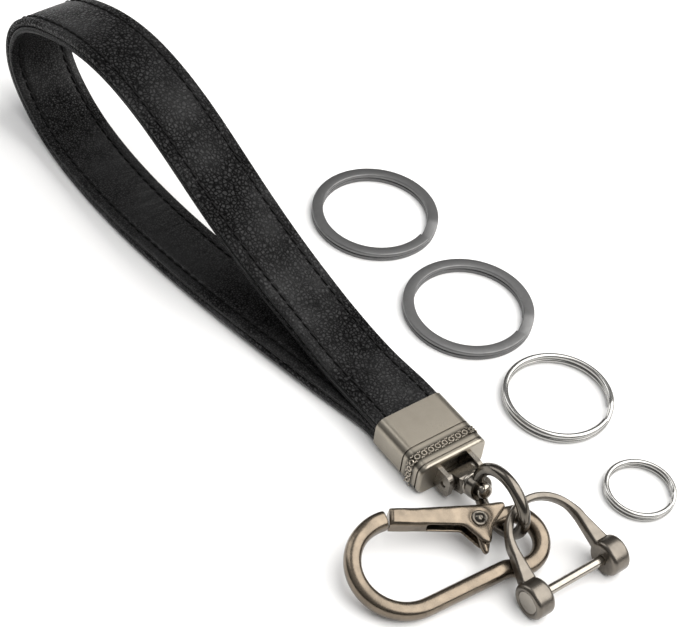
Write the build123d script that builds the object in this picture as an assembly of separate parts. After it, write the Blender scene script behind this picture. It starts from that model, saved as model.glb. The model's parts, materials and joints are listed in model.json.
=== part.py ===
from build123d import *
from math import acos, asin, atan2, cos, degrees, hypot, radians, sin
from itertools import accumulate
import os

# Wristlet keychain, in millimetres.
# The origin is on the table under the middle of the end cap. +X runs from the strap
# towards the hook, +Z is up.

# ---- driving dimensions: strap ----
STRAP_WIDTH = 18.5
OUTER_LEATHER = 2.1
INNER_LEATHER = 1.8
GLUE_LINE = 0.05
TURNED_EDGE = 0.9
STRAP_STEPS = 44

# ---- driving dimensions: end cap ----
CAP_LENGTH = 17.9
CAP_FRONT = 9.35
CAP_WALL = 0.75
CAP_FRONT_WALL = 2.0
CAP_CORNER = 2.6
CAP_GROOVE_WIDTH = 0.45
CAP_GROOVE_DEPTH = 0.25
CAP_PLAIN_LENGTH = 10.7
CAP_BAND_WIDTH = 5.2
CAP_LIP_RADIUS = 0.7
CAP_SIDE_GAP = 0.1
CAP_POCKET_CORNER = 1.1
CAP_WINDOW_GAP = 0.04
CAP_FLAT_GAP = 0.05
SCREW_X = -4.0
SCREW_DIAMETER = 1.8
SCREW_HEAD = 3.6
SCREW_SLOT = 0.4
SCREW_END_GAP = 0.3

# ---- driving dimensions: lug bracket, hinge pin and swivel ----
LUG_SPAN = 10.4
LUG_THICKNESS = 1.2
LUG_HEIGHT = 6.4
LUG_REACH = 5.2
LUG_CORNER = 1.4
WEB_MARGIN = 1.5
WEB_GAP = 0.1
HINGE_OFFSET = 2.95
HINGE_PIN_DIAMETER = 1.8
HINGE_PIN_RECESS = 0.3
BLOCK_RADIUS = 2.3
BLOCK_WIDTH = 5.8
BLOCK_REACH = 4.2
BLOCK_HEIGHT = 4.6
BLOCK_SIDE_GAP = 0.12
BLOCK_EDGE = 0.5
COLLAR_DIAMETER = 6.2
COLLAR_LENGTH = 1.3
STUD_DIAMETER = 2.0
STUD_HEAD_DIAMETER = 4.0
STUD_HEAD_LENGTH = 2.0
SWIVEL_TILT = 21.0
HOOP_WIRE = 3.0
HOOP_RADIUS = 8.2
HOOP_BOSS_DIAMETER = 6.4
HOOP_BOSS_LENGTH = 2.7
HOOP_BOSS_EDGE = 0.4
RUNNING_GAP = 0.05
PRESS_GAP = 0.01
END_GAP = 0.08
STUD_SEAT = 2.7

# ---- driving dimensions: carabiner ----
EYE_REST = (26.8, -1.6, 6.1)
CARABINER_TURN = 254.8
CARABINER_SLOPE = (-0.19, 0.055)
EYE_RADIUS = 7.1
EYE_START = 58.0
EYE_FINISH = 250.0
SPINE_FOOT = (3.2, 6.2)
BOW_RADIUS = 11.5
BOW_CENTRE = (27.5, -0.8)
CARABINER_BAR = 4.0
CARABINER_HEIGHT = 4.2
CARABINER_EDGE = 1.4
GATE_HEIGHT = 4.6
GATE_BAR = 3.9
GATE_EDGE = 0.6
GATE_CORNER = 0.85
GATE_SLOT = 2.5
GATE_SLOT_START = 18.5
GATE_PIVOT = (6.2, -6.6)
GATE_NOSE_GAP = 0.35
GATE_WALL = 0.8
TONGUE_THICKNESS = 2.1
TONGUE_RADIUS = 2.6
HEEL_REACH = 7.6
RIVET_DIAMETER = 2.0
RIVET_HEAD = 3.8
RIVET_HEAD_DEPTH = 0.5
SPRING_DIAMETER = 2.2
SPRING_WIRE = 0.35
SPRING_LENGTH = 5.0
PLUNGER_DIAMETER = 1.3
PLUNGER_LENGTH = 4.6
PLUNGER_HEAD = 0.8

# ---- driving dimensions: shackle ----
SHACKLE_PIN_POINT = (49.1, 4.35, 4.2)
SHACKLE_TILT = 21.2
SHACKLE_LUG_RADIUS = 4.2
SHACKLE_INNER_WIDTH = 18.4
SHACKLE_LUG_THICKNESS = 4.7
SHACKLE_BOW_CENTRE = 10.4
SHACKLE_BOW_THICKNESS = 1.8
SHACKLE_HEIGHT = 2.6
SHACKLE_EDGE = 0.5
SHACKLE_PIN_DIAMETER = 2.4
SHACKLE_HEAD_DIAMETER = 6.0
SHACKLE_HEAD_LENGTH = 1.6
SHACKLE_HEAD_EDGE = 0.2
SHACKLE_HEAD_GAP = 0.15

# ---- driving dimensions: split rings (outer diameter, wire width, wire height) ----
RING_GAP = 0.1
RING_STEP_ANGLE = 35
RINGS = {
    "split_ring_flat_left": (35.0, 3.0, 1.2, (-74.6, 39.8)),
    "split_ring_flat_right": (35.0, 3.0, 1.2, (-32.9, 39.6)),
    "split_ring_round_large": (28.6, 1.5, 1.4, (3.6, 39.6)),
    "split_ring_round_small": (18.0, 1.3, 1.2, (36.9, 37.5)),
}

# ---- worked-out sizes ----
BAND = OUTER_LEATHER + GLUE_LINE + INNER_LEATHER
CAP_HEIGHT = 2 * BAND + CAP_FLAT_GAP * 3 + 2 * CAP_WALL
CAP_WIDTH = STRAP_WIDTH + 2 * (CAP_SIDE_GAP + CAP_WALL)
CAP_BACK = CAP_FRONT - CAP_LENGTH
MID_HEIGHT = CAP_HEIGHT / 2
UPPER_BAND = MID_HEIGHT + CAP_FLAT_GAP / 2 + BAND / 2
LOWER_BAND = MID_HEIGHT - CAP_FLAT_GAP / 2 - BAND / 2
HINGE_X = CAP_FRONT + HINGE_OFFSET
STRAP_END = CAP_FRONT - CAP_FRONT_WALL - LUG_THICKNESS - 1.5 * WEB_GAP

# Strap route: middle of the band from the upper end to the lower end, with the lean
# of the band's width in degrees. The band rises in an arch, folds over and comes back
# along the table, bowed to the near side.
ARCH = [
    (CAP_BACK - 3, 0, UPPER_BAND, 0),
    (-23, -0.6, UPPER_BAND + 0.1, -3),
    (-44, -2.2, 10.6, -6),
    (-60, -4.5, 17.0, -4.5),
    (-79, -7.3, 26.7, -0.5),
    (-100, -9.7, 37.2, 2.5),
    (-123, -11.9, 42.8, 4),
    (-146, -13.7, 38.8, 3.5),
    (-161.5, -14.8, 28.0, 1.5),
    (-163.4, -14.8, 15.5, -1.5),
    (-153.2, -15.0, 6.2, -3),
    (-134.5, -16.0, 2.6, -2),
    (-110, -16.0, 2.3, 0),
    (-84.5, -13.6, 2.4, 2),
    (-60, -9.6, 2.6, 3),
    (-41, -5.8, 2.7, 3),
    (-24, -2.0, 2.6, 1),
    (CAP_BACK - 3, 0, LOWER_BAND, 0),
]


# ---- strap ----
def lean_at(share):
    """Lean of the band in degrees, shared out evenly between the route's points."""
    chords = [(Vector(*b[:3]) - Vector(*a[:3])).length for a, b in zip(ARCH, ARCH[1:])]
    reached = [0.0] + list(accumulate(chords))
    distance = share * reached[-1]
    for start, end, a, b in zip(reached, reached[1:], ARCH, ARCH[1:]):
        if distance <= end:
            return a[3] + (b[3] - a[3]) * (distance - start) / (end - start)
    return ARCH[-1][3]


def strap_stations():
    """Point, width direction and outward direction, from the upper end to the lower end."""
    route = Spline(*[point[:3] for point in ARCH], tangents=[(-1, 0, 0), (1, 0, 0)])
    side = Vector(0, 1, 0)
    stations = [(Vector(STRAP_END, 0, UPPER_BAND), side, Vector(0, 0, 1))]
    for step in range(STRAP_STEPS + 1):
        share = step / STRAP_STEPS
        along = (route % share).normalized()
        level = (side - along * side.dot(along)).normalized()
        rise = level.cross(along)
        lean = radians(lean_at(share))
        width = level * cos(lean) + rise * sin(lean)
        stations.append((route @ share, width, along.cross(width) * -1))
    stations.append((Vector(STRAP_END, 0, LOWER_BAND), side, Vector(0, 0, -1)))
    return stations


def leather(inside, outside, edge):
    """One layer of the strap between two heights over the band's middle."""
    sections = []
    half = STRAP_WIDTH / 2
    turned = edge if edge > 0 else 0
    flat = outside - turned
    under = -edge if edge < 0 else 0
    for point, width, out in strap_stations():
        corners = [
            (-half + under, inside),
            (half - under, inside),
            (half, inside + under),
            (half, flat),
            (half - turned, outside),
            (-half + turned, outside),
            (-half, flat),
            (-half, inside + under),
        ]
        corners = list(dict.fromkeys(corners))
        points = [point + width * across + out * up for across, up in corners]
        sections.append(Wire(Polyline(*points, close=True).edges()))
    return Solid.make_loft(sections, ruled=True)


def strap_layers():
    """Outer and inner leather, drilled for the screw in the cap."""
    outer = leather(GLUE_LINE + INNER_LEATHER - BAND / 2, BAND / 2, TURNED_EDGE)
    inner = leather(-BAND / 2, INNER_LEATHER - BAND / 2, 0)
    drill = screw_axis() * Cylinder(SCREW_DIAMETER / 2 + RUNNING_GAP, 3 * CAP_HEIGHT)
    return outer - drill, inner - drill


# ---- end cap and its screw ----
def screw_axis():
    return Location((SCREW_X, 0, 0))


def cap_shell_profile(shrink):
    size_y = CAP_WIDTH - 2 * shrink
    size_z = CAP_HEIGHT - 2 * shrink
    return RectangleRounded(size_y, size_z, CAP_CORNER - shrink)


def end_cap():
    """Cast sleeve that holds both strap ends, with a window in its front wall."""
    front = Plane(origin=(CAP_BACK, 0, MID_HEIGHT), x_dir=(0, 1, 0), z_dir=(1, 0, 0))
    body = extrude(front * cap_shell_profile(0), CAP_LENGTH)
    lip = body.edges().filter_by_position(Axis.X, CAP_FRONT - 0.01, CAP_FRONT + 0.01)
    body = fillet(lip, CAP_LIP_RADIUS)
    pocket = RectangleRounded(STRAP_WIDTH + 2 * CAP_SIDE_GAP, CAP_HEIGHT - 2 * CAP_WALL, CAP_POCKET_CORNER)
    body -= extrude(front * pocket, CAP_LENGTH - CAP_FRONT_WALL)
    window = Plane.YZ.offset(0) * Rectangle(LUG_SPAN + CAP_WINDOW_GAP, LUG_HEIGHT + CAP_WINDOW_GAP)
    body -= Pos(0, 0, MID_HEIGHT) * extrude(window, CAP_LENGTH)
    for start in (CAP_PLAIN_LENGTH, CAP_PLAIN_LENGTH + CAP_GROOVE_WIDTH + CAP_BAND_WIDTH):
        groove = cap_shell_profile(-1) - cap_shell_profile(CAP_GROOVE_DEPTH)
        body -= Pos(start, 0, 0) * extrude(front * groove, CAP_GROOVE_WIDTH)
    body -= screw_axis() * Cylinder(SCREW_HEAD / 2 + RUNNING_GAP, 2 * CAP_WALL)
    return body


def strap_screw():
    """Small pan screw from the underside, through both strap ends."""
    head = Pos(0, 0, CAP_WALL / 2) * Cylinder(SCREW_HEAD / 2, CAP_WALL)
    slot = Pos(0, 0, SCREW_SLOT / 2) * Box(SCREW_HEAD, SCREW_SLOT, SCREW_SLOT)
    length = CAP_HEIGHT - 2 * CAP_WALL - SCREW_END_GAP
    shank = Pos(0, 0, CAP_WALL + length / 2) * Cylinder(SCREW_DIAMETER / 2, length)
    shank = chamfer(shank.edges().sort_by(Axis.Z)[-1], SCREW_DIAMETER * 0.3)
    return screw_axis() * (head + shank - slot)


# ---- bracket, hinge and swivel ----
def lug_bracket():
    """Bent plate: its web sits behind the cap's front wall, its two lugs stick out."""
    back = STRAP_END + WEB_GAP
    web_width = STRAP_WIDTH - 2 * WEB_MARGIN
    web_x = back + LUG_THICKNESS / 2
    bracket = Pos(web_x, 0, MID_HEIGHT) * Box(LUG_THICKNESS, web_width, LUG_HEIGHT)
    reach = CAP_FRONT + LUG_REACH - back
    for side in (-1, 1):
        lug = Pos(back + reach / 2, 0, 0) * Box(reach, LUG_THICKNESS, LUG_HEIGHT)
        tips = lug.edges().filter_by(Axis.Y).group_by(Axis.X)[-1]
        lug = fillet(tips, LUG_CORNER)
        offset = side * (LUG_SPAN - LUG_THICKNESS) / 2
        bracket += Pos(0, offset, MID_HEIGHT) * lug
    return bracket - hinge_line() * Cylinder(HINGE_PIN_DIAMETER / 2 + PRESS_GAP, 3 * LUG_SPAN)


def hinge_line():
    return Location((HINGE_X, 0, MID_HEIGHT), (90, 0, 0))


def hinge_pin():
    return hinge_line() * Cylinder(HINGE_PIN_DIAMETER / 2, LUG_SPAN - 2 * HINGE_PIN_RECESS)


def swivel_line(distance):
    """Place on the swivel's axis, +Z along it, at a distance from the hinge pin."""
    tilt = radians(SWIVEL_TILT)
    place = Vector(HINGE_X, 0, MID_HEIGHT) + Vector(cos(tilt), 0, sin(tilt)) * distance
    return Plane(origin=place, x_dir=(-sin(tilt), 0, cos(tilt)), z_dir=(cos(tilt), 0, sin(tilt)))


def swivel_block():
    """Block between the lugs that carries the swivel stud."""
    barrel_width = LUG_SPAN - 2 * LUG_THICKNESS - 2 * BLOCK_SIDE_GAP
    barrel = hinge_line() * Cylinder(BLOCK_RADIUS, barrel_width)
    arm = swivel_line(BLOCK_REACH / 2) * Box(BLOCK_HEIGHT, BLOCK_WIDTH, BLOCK_REACH)
    block = barrel + arm
    front = block.faces().sort_by(Axis.X)[-1]
    block = chamfer(front.edges(), BLOCK_EDGE)
    block -= hinge_line() * Cylinder(HINGE_PIN_DIAMETER / 2 + RUNNING_GAP, LUG_SPAN)
    return block - swivel_line(BLOCK_REACH) * Cylinder(STUD_DIAMETER / 2, 2 * STUD_SEAT)


def swivel_collar():
    """Domed washer between the block and the hoop."""
    start = BLOCK_REACH
    dome = swivel_line(start + COLLAR_LENGTH / 2) * Cylinder(COLLAR_DIAMETER / 2, COLLAR_LENGTH)
    rim = dome.edges().filter_by(GeomType.CIRCLE)
    dome = fillet(rim, COLLAR_LENGTH * 0.42)
    return dome - swivel_line(start) * Cylinder(STUD_DIAMETER / 2, 4 * COLLAR_LENGTH)


def hoop_middle():
    """Distance from the hinge pin to the middle of the hoop's boss."""
    return BLOCK_REACH + COLLAR_LENGTH + END_GAP + HOOP_BOSS_LENGTH / 2


def swivel_stud():
    """Stud riveted in the block, with a domed head inside the hoop."""
    head_start = hoop_middle() + HOOP_BOSS_LENGTH / 2 + END_GAP
    shank_start = BLOCK_REACH - STUD_SEAT
    length = head_start - shank_start
    shank = swivel_line(shank_start + length / 2) * Cylinder(STUD_DIAMETER / 2, length)
    head = Pos(0, 0, STUD_HEAD_LENGTH / 2) * Cylinder(STUD_HEAD_DIAMETER / 2, STUD_HEAD_LENGTH)
    head = fillet(head.edges().group_by(Axis.Z)[-1], STUD_HEAD_DIAMETER * 0.28)
    return shank + swivel_line(head_start) * head


def swivel_hoop():
    """Round wire hoop, upright in the XZ plane, whose ends meet in a boss on the stud."""
    centre = swivel_line(hoop_middle() + HOOP_RADIUS).origin
    opening = degrees(asin(HOOP_BOSS_DIAMETER * 0.43 / HOOP_RADIUS))
    turned = Location(centre, (90, 0, 0)) * Rot(0, 0, 180 + SWIVEL_TILT + opening)
    hoop = turned * Torus(HOOP_RADIUS, HOOP_WIRE / 2, major_angle=360 - 2 * opening)
    boss = Cylinder(HOOP_BOSS_DIAMETER / 2, HOOP_BOSS_LENGTH)
    boss = fillet(boss.edges().filter_by(GeomType.CIRCLE), HOOP_BOSS_EDGE)
    bore = Cylinder(STUD_DIAMETER / 2 + RUNNING_GAP, 3 * HOOP_BOSS_LENGTH)
    return hoop + swivel_line(hoop_middle()) * boss - swivel_line(hoop_middle()) * bore


# ---- carabiner ----
def carabiner_plane():
    """Middle plane of the carabiner: X from the eye to the bow, Y towards the spine.

    The eye's wire lies in the hoop at EYE_REST, so the eye's centre is a radius ahead."""
    slope_x, slope_y = CARABINER_SLOPE
    rest_x, rest_y, rest_z = EYE_REST
    centre = (rest_x + EYE_RADIUS, rest_y, rest_z + slope_x * EYE_RADIUS)
    turn = radians(CARABINER_TURN)
    ahead = (cos(turn), sin(turn), slope_x * cos(turn) + slope_y * sin(turn))
    return Plane(origin=centre, x_dir=ahead, z_dir=(-slope_x, -slope_y, 1))


def arc_about(centre, radius, start, finish):
    """Arc between two angles in degrees, through the angle half-way."""
    angles = [radians(angle) for angle in (start, (start + finish) / 2, finish)]
    return ThreePointArc(*[(centre[0] + radius * cos(a), centre[1] + radius * sin(a)) for a in angles])


def swept_bar(path):
    start = Plane(origin=path @ 0, x_dir=(0, 0, 1), z_dir=path % 0)
    section = RectangleRounded(CARABINER_HEIGHT, CARABINER_BAR, CARABINER_EDGE)
    return sweep(start * section, path=path)


def carabiner_bar():
    """Bar from the nose round the bow and down the spine, and the eye beside it."""
    foot_x, foot_y = SPINE_FOOT[0] - BOW_CENTRE[0], SPINE_FOOT[1] - BOW_CENTRE[1]
    distance = hypot(foot_x, foot_y)
    leave = degrees(atan2(foot_y, foot_x)) - degrees(acos(BOW_RADIUS / distance))
    bow = arc_about(BOW_CENTRE, BOW_RADIUS, -90, leave)
    spine = Line(bow @ 1, SPINE_FOOT)
    eye = arc_about((0, 0), EYE_RADIUS, EYE_START, EYE_FINISH)
    return swept_bar(Wire([bow, spine])) + swept_bar(eye)


def tongue_outline():
    """Flat tongue from the eye's end to the pivot, with a heel that shows below the gate."""
    pivot_x, pivot_y = GATE_PIVOT
    finish = radians(EYE_FINISH)
    root = Pos(EYE_RADIUS * cos(finish), EYE_RADIUS * sin(finish)) * Circle(CARABINER_BAR / 2 - 0.3)
    disc = Pos(pivot_x, pivot_y) * Circle(TONGUE_RADIUS)
    neck = make_hull((root + disc).edges())
    heel_tip = Pos(pivot_x + 0.9, pivot_y + HEEL_REACH) * Circle(0.9)
    heel = make_hull((Pos(pivot_x, pivot_y) * Circle(1.5) + heel_tip).edges())
    return neck + heel


def carabiner_frame():
    """Bow, spine and eye in one bar, with the tongue that carries the gate."""
    bar = carabiner_bar()
    tongue = extrude(tongue_outline(), TONGUE_THICKNESS / 2, both=True)
    pivot = Pos(*GATE_PIVOT) * Cylinder(RIVET_DIAMETER / 2 + RUNNING_GAP, 2 * CARABINER_HEIGHT)
    return carabiner_plane() * (bar + tongue - pivot)


def gate_outline():
    """Gate seen from above: slim bar from the nose, fishtail round the pivot."""
    bow_x, bow_y = BOW_CENTRE
    nose_x = bow_x - GATE_NOSE_GAP
    nose_y = bow_y - BOW_RADIUS
    half = GATE_BAR / 2
    pivot_x, pivot_y = GATE_PIVOT
    points = [
        (nose_x - 1.2, nose_y - half),
        (pivot_x - 1.0, pivot_y - 3.6),
        (pivot_x - 7.8, pivot_y - 2.9),
        (pivot_x - 7.6, pivot_y - 1.2),
        (pivot_x - 2.6, pivot_y + 2.9),
        (pivot_x - 0.6, pivot_y + 7.2),
        (pivot_x + 1.6, pivot_y + 5.8),
        (pivot_x + 4.4, pivot_y + 0.9),
        (nose_x, nose_y + half),
    ]
    outline = make_face(Polyline(*points, close=True))
    corners = outline.vertices()
    soft = [v for v in corners if abs(v.X - nose_x) > 2]
    return fillet(soft, GATE_CORNER)


def gate_slot():
    """Slot that lets the tongue, plunger and spring into the gate from its inner side."""
    bow_x, bow_y = BOW_CENTRE
    pivot_x, pivot_y = GATE_PIVOT
    back_y = pivot_y - 3.6 + GATE_WALL
    slope = (bow_y - BOW_RADIUS - GATE_BAR / 2 - (pivot_y - 3.6)) / (bow_x - pivot_x)
    end_y = back_y + slope * (GATE_SLOT_START - pivot_x)
    points = [
        (GATE_SLOT_START, end_y),
        (pivot_x + 2.0, back_y),
        (pivot_x - 1.5, back_y),
        (pivot_x - 1.5, pivot_y - 9),
        (pivot_x - 12, pivot_y - 9),
        (pivot_x - 12, pivot_y + 12),
        (GATE_SLOT_START, pivot_y + 12),
    ]
    return extrude(make_face(Polyline(*points, close=True)), GATE_SLOT / 2, both=True)


def carabiner_gate():
    """Sprung gate: solid at the nose, channel from its middle to the pivot."""
    gate = extrude(gate_outline(), GATE_HEIGHT / 2, both=True)
    rims = gate.edges().group_by(Axis.Z)
    gate = chamfer(rims[0] + rims[-1], GATE_EDGE)
    gate -= gate_slot()
    hole = Pos(*GATE_PIVOT) * Cylinder(RIVET_DIAMETER / 2 + PRESS_GAP, 2 * GATE_HEIGHT)
    gate -= hole
    for side in (-1, 1):
        seat = Cylinder(RIVET_HEAD / 2 + 0.1, 2 * RIVET_HEAD_DEPTH)
        gate -= Pos(*GATE_PIVOT) * Pos(0, 0, side * GATE_HEIGHT / 2) * seat
    return carabiner_plane() * gate


def gate_rivet():
    """Rivet through gate and tongue, each head with a ring groove."""
    rivet = Cylinder(RIVET_DIAMETER / 2, GATE_HEIGHT)
    for side in (-1, 1):
        head = Pos(0, 0, side * (GATE_HEIGHT - RIVET_HEAD_DEPTH) / 2)
        rivet += head * Cylinder(RIVET_HEAD / 2, RIVET_HEAD_DEPTH)
        groove = Cylinder(RIVET_HEAD * 0.34, 0.3) - Cylinder(RIVET_HEAD * 0.22, 0.3)
        rivet -= Pos(0, 0, side * GATE_HEIGHT / 2) * groove
    return carabiner_plane() * Pos(*GATE_PIVOT) * rivet


def channel_line(distance):
    """Place on the channel's axis at a distance from the pivot towards the nose."""
    pivot_x, pivot_y = GATE_PIVOT
    bow_x, bow_y = BOW_CENTRE
    angle = atan2(bow_y - BOW_RADIUS - pivot_y, bow_x - pivot_x)
    start = Vector(pivot_x, pivot_y - 0.6, 0) + Vector(cos(angle), sin(angle), 0) * distance
    place = Plane(origin=start, x_dir=(0, 0, 1), z_dir=(cos(angle), sin(angle), 0))
    return carabiner_plane().location * place.location


def gate_plunger():
    """Headed pin that the spring presses against the tongue."""
    start = TONGUE_RADIUS + 0.15
    stem = Pos(0, 0, PLUNGER_LENGTH / 2) * Cylinder(PLUNGER_DIAMETER / 2, PLUNGER_LENGTH)
    head = Pos(0, 0, PLUNGER_HEAD / 2) * Cylinder(SPRING_DIAMETER / 2, PLUNGER_HEAD)
    head = fillet(head.edges().group_by(Axis.Z)[0], 0.3)
    return channel_line(start) * (head + stem)


def gate_spring():
    """Coils round the plunger's stem, drawn as closed rings side by side."""
    start = TONGUE_RADIUS + 0.15 + PLUNGER_HEAD
    coils = int(SPRING_LENGTH / (SPRING_WIRE * 1.6))
    sleeve = Cylinder(SPRING_DIAMETER / 2, SPRING_LENGTH) - Cylinder(
        SPRING_DIAMETER / 2 - SPRING_WIRE, SPRING_LENGTH
    )
    step = SPRING_LENGTH / coils
    for coil in range(1, coils):
        ring = Cylinder(SPRING_DIAMETER, step * 0.3) - Cylinder(
            SPRING_DIAMETER / 2 - SPRING_WIRE * 0.4, step * 0.3
        )
        sleeve -= Pos(0, 0, coil * step - SPRING_LENGTH / 2) * ring
    return channel_line(start + SPRING_LENGTH / 2) * sleeve


# ---- shackle ----
def shackle_plane():
    """Middle plane of the bow: X from the pin to the bow, Z upward."""
    tilt = radians(SHACKLE_TILT)
    return Plane(
        origin=SHACKLE_PIN_POINT,
        x_dir=(-cos(tilt), 0, sin(tilt)),
        z_dir=(sin(tilt), 0, cos(tilt)),
    )


def shackle_outline():
    """Horseshoe seen from above: even bow, arms that widen towards the lugs."""
    inner = SHACKLE_INNER_WIDTH / 2
    outer = inner + SHACKLE_LUG_THICKNESS
    bow = inner + SHACKLE_BOW_THICKNESS
    centre = SHACKLE_BOW_CENTRE
    outside = Polyline((0, -outer), (centre, -bow))
    outside += ThreePointArc((centre, -bow), (centre + bow, 0), (centre, bow))
    outside += Polyline((centre, bow), (0, outer), (0, inner), (centre, inner))
    outside += ThreePointArc((centre, inner), (centre + inner, 0), (centre, -inner))
    outside += Polyline((centre, -inner), (0, -inner), (0, -outer))
    return make_face(outside)


def shackle_bow():
    """Bow and both lugs, bored for the pin, with a seat for its head in one lug."""
    inner = SHACKLE_INNER_WIDTH / 2
    outer = inner + SHACKLE_LUG_THICKNESS
    arms = extrude(shackle_outline(), SHACKLE_HEIGHT / 2, both=True)
    arms = chamfer(arms.edges().filter_by(Plane.XY).filter_by(GeomType.CIRCLE), SHACKLE_EDGE * 0.8)
    bow = arms
    for side in (-1, 1):
        lug = Cylinder(SHACKLE_LUG_RADIUS, SHACKLE_LUG_THICKNESS, rotation=(90, 0, 0))
        lug = chamfer(lug.edges().filter_by(GeomType.CIRCLE), SHACKLE_EDGE)
        bow += Pos(0, side * (inner + outer) / 2, 0) * lug
    bore = Cylinder(SHACKLE_PIN_DIAMETER / 2 + RUNNING_GAP, 3 * outer, rotation=(90, 0, 0))
    seat = Cylinder(
        SHACKLE_HEAD_DIAMETER / 2 + SHACKLE_HEAD_GAP, SHACKLE_HEAD_LENGTH + END_GAP, rotation=(90, 0, 0)
    )
    seat_y = outer - (SHACKLE_HEAD_LENGTH + END_GAP) / 2
    return shackle_plane() * (bow - bore - Pos(0, seat_y, 0) * seat)


def shackle_pin():
    """Screw pin with a flat flush head, slotted for a coin."""
    inner = SHACKLE_INNER_WIDTH / 2
    outer = inner + SHACKLE_LUG_THICKNESS
    length = outer * 2 - END_GAP
    pin = Cylinder(SHACKLE_PIN_DIAMETER / 2, length, rotation=(90, 0, 0))
    head = Cylinder(SHACKLE_HEAD_DIAMETER / 2, SHACKLE_HEAD_LENGTH, rotation=(90, 0, 0))
    head = chamfer(head.edges().filter_by(GeomType.CIRCLE), SHACKLE_HEAD_EDGE)
    pin += Pos(0, outer - SHACKLE_HEAD_LENGTH / 2, 0) * head
    return shackle_plane() * pin


# ---- loose split rings ----
def split_ring(diameter, width, height, place):
    """Two flat coils, one on the other, joined where the wire steps up."""
    outer = diameter / 2
    coil = Cylinder(outer, height) - Cylinder(outer - width, height)
    coil = chamfer(coil.edges().filter_by(GeomType.CIRCLE), min(width, height) * 0.2)
    lift = height + RING_GAP
    ring = Pos(0, 0, height / 2) * coil + Pos(0, 0, height / 2 + lift) * coil
    step = Pos(outer - width / 2, 0, height + RING_GAP / 2) * Box(width * 0.6, width, lift)
    return Pos(place[0], place[1], 0) * Rot(0, 0, RING_STEP_ANGLE) * (ring + step)


# ---- all pieces ----
def pieces():
    outer_layer, inner_layer = strap_layers()
    made = {
        "strap_outer_leather": outer_layer,
        "strap_inner_leather": inner_layer,
        "end_cap": end_cap(),
        "strap_screw": strap_screw(),
        "lug_bracket": lug_bracket(),
        "hinge_pin": hinge_pin(),
        "swivel_block": swivel_block(),
        "swivel_collar": swivel_collar(),
        "swivel_stud": swivel_stud(),
        "swivel_hoop": swivel_hoop(),
        "carabiner_frame": carabiner_frame(),
        "carabiner_gate": carabiner_gate(),
        "gate_rivet": gate_rivet(),
        "gate_plunger": gate_plunger(),
        "gate_spring": gate_spring(),
        "shackle_bow": shackle_bow(),
        "shackle_pin": shackle_pin(),
    }
    for name, sizes in RINGS.items():
        made[name] = split_ring(*sizes)
    return made


os.makedirs("parts", exist_ok=True)
for name, shape in pieces().items():
    export_step(shape, f"parts/{name}.step")
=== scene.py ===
"""Looks of a leather wristlet keychain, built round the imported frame. Sizes are in millimetres."""

import json
import math

import bmesh
import bpy
import numpy as np
from mathutils import Matrix, Vector

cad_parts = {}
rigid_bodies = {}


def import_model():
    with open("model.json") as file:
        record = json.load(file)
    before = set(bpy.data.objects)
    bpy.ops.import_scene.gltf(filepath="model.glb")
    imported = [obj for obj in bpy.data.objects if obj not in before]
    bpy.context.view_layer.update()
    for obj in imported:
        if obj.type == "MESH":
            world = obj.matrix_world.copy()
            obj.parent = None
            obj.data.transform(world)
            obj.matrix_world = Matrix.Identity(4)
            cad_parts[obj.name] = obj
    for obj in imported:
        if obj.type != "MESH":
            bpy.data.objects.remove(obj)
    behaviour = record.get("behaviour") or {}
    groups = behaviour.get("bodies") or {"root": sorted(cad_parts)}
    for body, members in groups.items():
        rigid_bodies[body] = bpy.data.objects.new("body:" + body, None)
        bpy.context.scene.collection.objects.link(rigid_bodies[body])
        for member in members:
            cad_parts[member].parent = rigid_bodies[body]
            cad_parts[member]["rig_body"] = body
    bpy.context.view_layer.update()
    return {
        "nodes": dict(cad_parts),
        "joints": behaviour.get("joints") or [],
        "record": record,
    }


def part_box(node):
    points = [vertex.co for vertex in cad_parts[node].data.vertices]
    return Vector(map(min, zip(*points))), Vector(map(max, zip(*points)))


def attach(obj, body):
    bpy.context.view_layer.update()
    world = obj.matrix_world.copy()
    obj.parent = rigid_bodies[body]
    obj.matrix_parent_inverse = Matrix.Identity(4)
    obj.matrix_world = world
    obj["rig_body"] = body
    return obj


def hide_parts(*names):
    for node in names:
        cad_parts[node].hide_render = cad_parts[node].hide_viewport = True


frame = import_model()

MM = 0.001

# ---- strap sizes ----
STRAP_WIDTH = 18.5
OUTER_LEATHER = 2.1
INNER_LEATHER = 1.8
SEAM = 0.05
BAND = OUTER_LEATHER + SEAM + INNER_LEATHER
STRAP_STEP = 0.9
STITCH_INSET = 2.7
STITCH_PITCH = 3.2
STITCH_LENGTH = 2.75
STITCH_THICKNESS = 0.55
STITCH_SLANT = 7.0
STITCH_GROOVE = 0.34
STITCH_GROOVE_WIDTH = 0.5
STITCH_SUNK = 0.02
STITCH_UNEVEN = 3.0
CAP_CLEARANCE = 0.6

# ---- cap trim sizes ----
MOTIF_PITCH = 2.05
MOTIF_RADIUS = 0.62
MOTIF_WIRE = 0.2
MOTIF_BAND_MIDDLE = 4.15
CAP_CORNER = 2.6
MOTIF_HOOK_RADIUS = 0.42
MOTIF_HOOK_REACH = 1.15
MOTIF_RISE = 0.05
MOTIF_LINE_STEP = 0.4
PATINA_OUTSIDE = 1.9
PATINA_INSIDE = 1.1
PATINA_STRENGTH = 0.88

# ---- castings: how far the crisp part by the nose reaches, and how much each is filled out ----
NOSE_CRISP = 4.0
NOSE_ROUND = 8.0
HOOK_SWELL = 0.14
GATE_SWELL = 0.03
GATE_TIP_SWELL = 0.1
SHACKLE_SWELL = 0.3
HOOP_REACH = 4.2
LUG_REACH = 8.0
RIVET_REACH = 2.3

# ---- gate spring ----
SPRING_LENGTH = 5.0
SPRING_RADIUS = 0.93
SPRING_WIRE_RADIUS = 0.17
SPRING_TURNS = 8

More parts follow.
